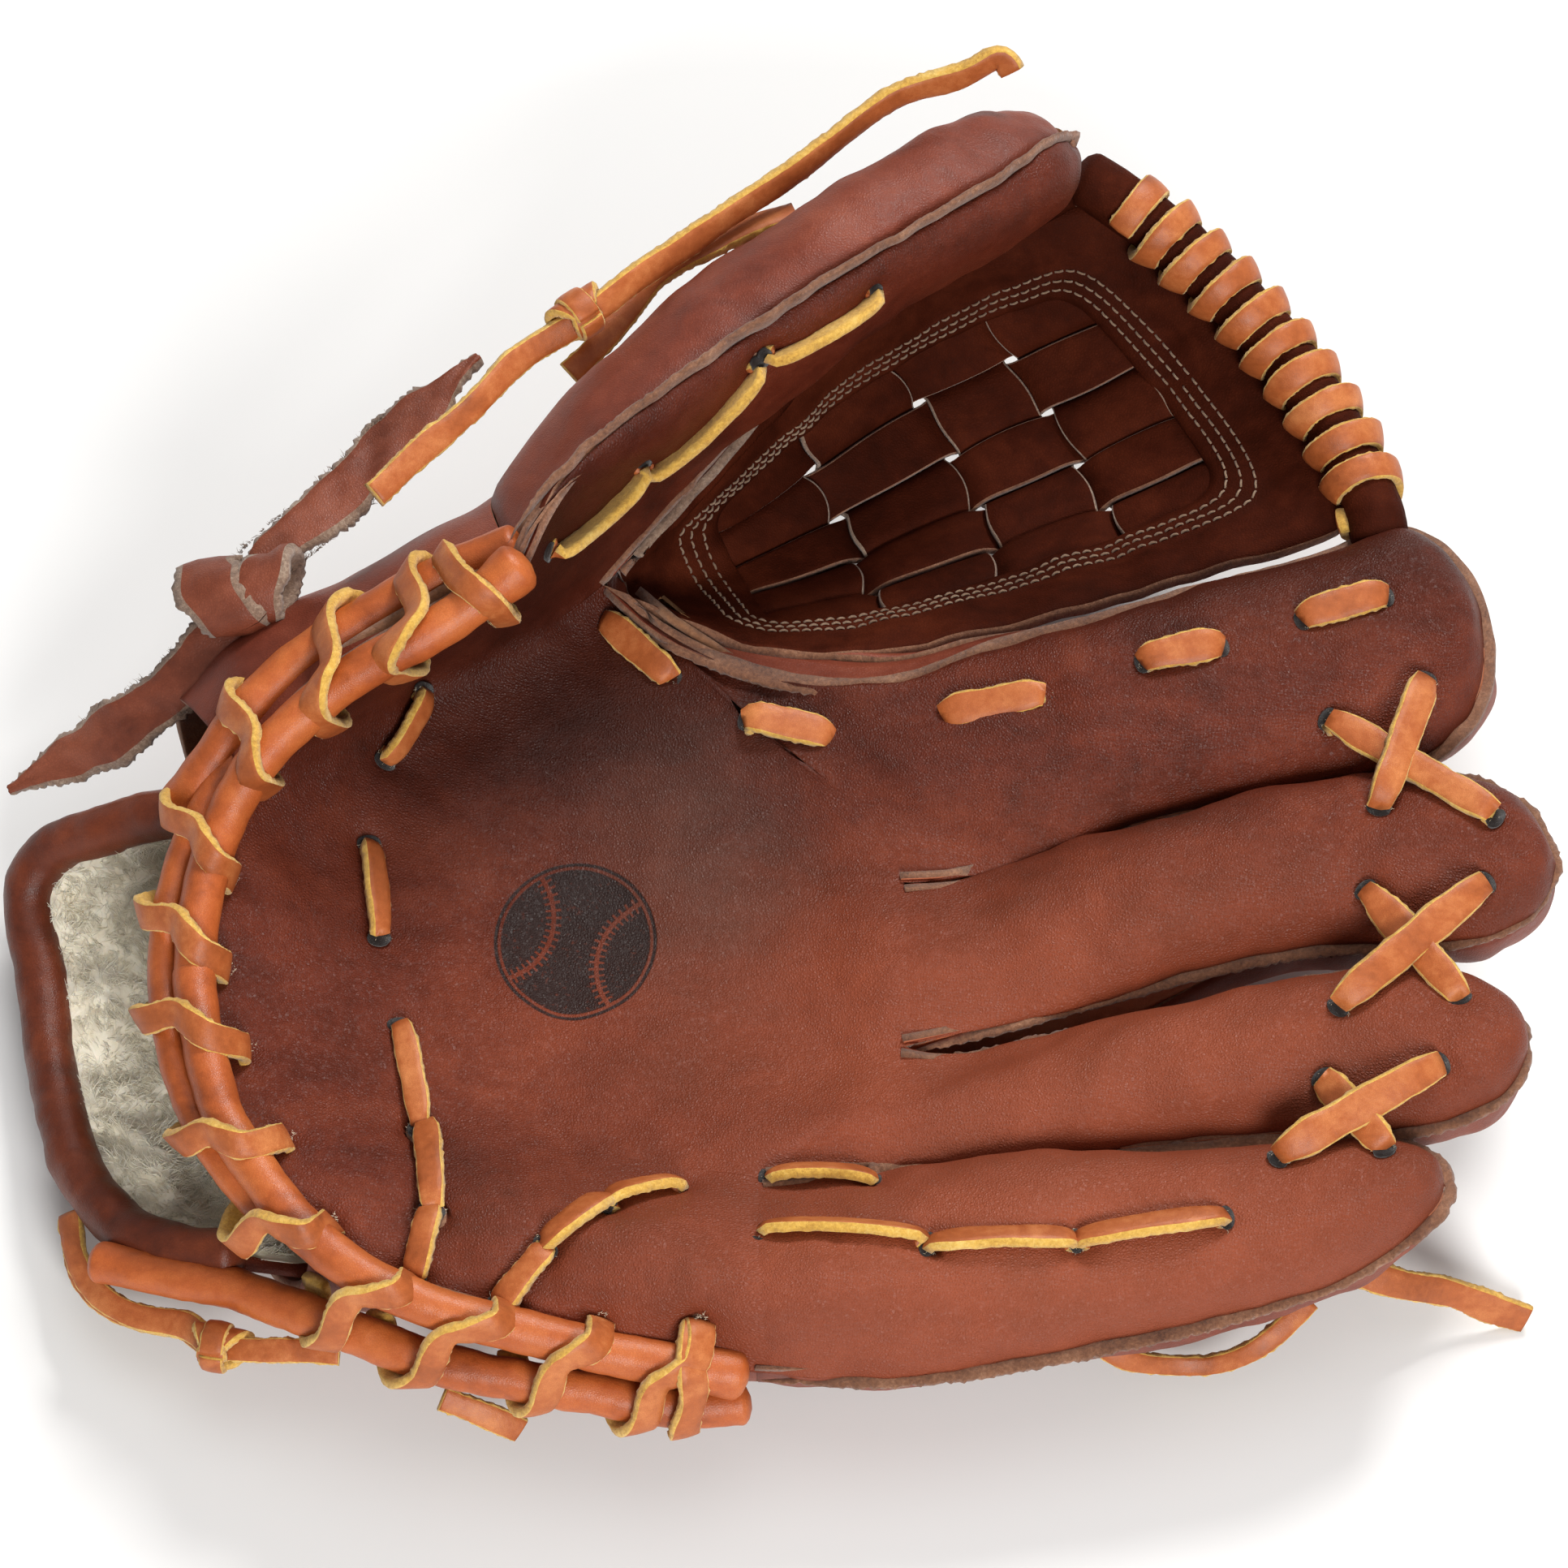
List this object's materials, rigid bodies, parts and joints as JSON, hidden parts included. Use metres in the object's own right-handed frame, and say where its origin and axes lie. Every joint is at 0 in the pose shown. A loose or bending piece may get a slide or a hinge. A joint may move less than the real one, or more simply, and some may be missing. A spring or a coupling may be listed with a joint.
{
  "type": "baseball glove",
  "caption": "Left-hand fielder's baseball glove with basket-weave web, laced fingers, rolled heel bindings and a fleece-lined wrist strap; thumb, little finger, web and strap fold.",
  "frame": {"origin": "middle of the flat patch on the back panel that the glove rests on, under the palm", "axes": "+X from the heel to the fingertips, +Y towards the thumb and web, +Z out of the palm (pocket facing up)"},
  "size_m": [0.3457, 0.3081, 0.1198],
  "materials": {
    "shell_leather": "oiled pebbled steerhide, satin",
    "web_leather": "dark oiled steerhide",
    "tan_roll": "smooth rolled binding leather",
    "rawhide": "split rawhide lace with a suede yellow edge",
    "welt": "raw cut leather edge",
    "fleece": "cream wool fleece",
    "felt": "pressed wool felt",
    "lining": "thin unfinished lining leather"
  },
  "bodies": {
    "palm": {"back_lining": "lining", "back_panel": "shell_leather", "finger_linings": "lining", "finger_welts": "welt", "fingertip_lace_index_middle": "rawhide", "fingertip_lace_middle_ring": "rawhide", "fingertip_lace_ring": "rawhide", "heel_binding": "tan_roll", "heel_lace": "rawhide", "index_back": "shell_leather", "index_front": "shell_leather", "index_pad": "felt", "index_web_lacing": "rawhide", "middle_back": "shell_leather", "middle_front": "shell_leather", "middle_pad": "felt", "palm_lacing": "rawhide", "palm_leather": "shell_leather", "palm_lining": "lining", "palm_pad": "felt", "rear_binding": "tan_roll", "ring_back": "shell_leather", "ring_front": "shell_leather", "ring_pad": "felt"},
    "pinky": {"fingertip_lace_pinky": "rawhide", "heel_binding_pinky": "tan_roll", "heel_lace_pinky": "rawhide", "heel_tail_lace": "rawhide", "pinky_back": "shell_leather", "pinky_back_lace": "rawhide", "pinky_heel_pad": "felt", "pinky_lacing": "rawhide", "pinky_leather": "shell_leather", "pinky_lining": "lining", "pinky_pad": "felt", "pinky_welt": "welt", "rear_binding_pinky": "tan_roll"},
    "thumb": {"heel_binding_thumb": "tan_roll", "heel_lace_thumb": "rawhide", "rear_binding_thumb": "tan_roll", "thumb_back": "shell_leather", "thumb_back_knot": "rawhide", "thumb_back_lace": "rawhide", "thumb_heel_pad": "felt", "thumb_leather": "shell_leather", "thumb_lining": "lining", "thumb_pad": "felt", "thumb_web_lacing": "rawhide", "thumb_welt": "welt", "wrist_tie": "web_leather", "wrist_tie_knot": "web_leather"},
    "strap": {"strap_loop_lace": "rawhide", "wrist_fleece": "fleece", "wrist_strap": "shell_leather", "wrist_strap_binding": "tan_roll"},
    "web": {"web_border": "web_leather", "web_cross_strips": "web_leather", "web_long_strips": "web_leather", "web_top_lace": "rawhide", "web_top_roll": "web_leather"}
  },
  "joints": [
    {"name": "thumb_fold", "type": "hinge", "parent": "palm", "child": "thumb", "pos_m": [-0.00769, 0.04981, 0.0565], "axis": [0.859, 0.5097, -0.0487], "range_deg": [-5, 28]},
    {"name": "web_fold", "type": "hinge", "parent": "palm", "child": "web", "pos_m": [0.04461, 0.05667, 0.052], "axis": [0.9963, 0.0832, 0.0214], "range_deg": [-3, 12]},
    {"name": "pinky_fold", "type": "hinge", "parent": "palm", "child": "pinky", "pos_m": [0.00768, -0.08807, 0.0515], "axis": [-0.9987, -0.0331, 0.0376], "range_deg": [-5, 20]},
    {"name": "strap_flex", "type": "hinge", "parent": "palm", "child": "strap", "pos_m": [-0.11824, -0.05922, 0.043], "axis": [0.2216, -0.9665, -0.1299], "range_deg": [-4, 8]}
  ],
  "couplings": [
    {"joint": "web_fold", "follows": "thumb_fold", "ratio": 0.4}
  ]
}
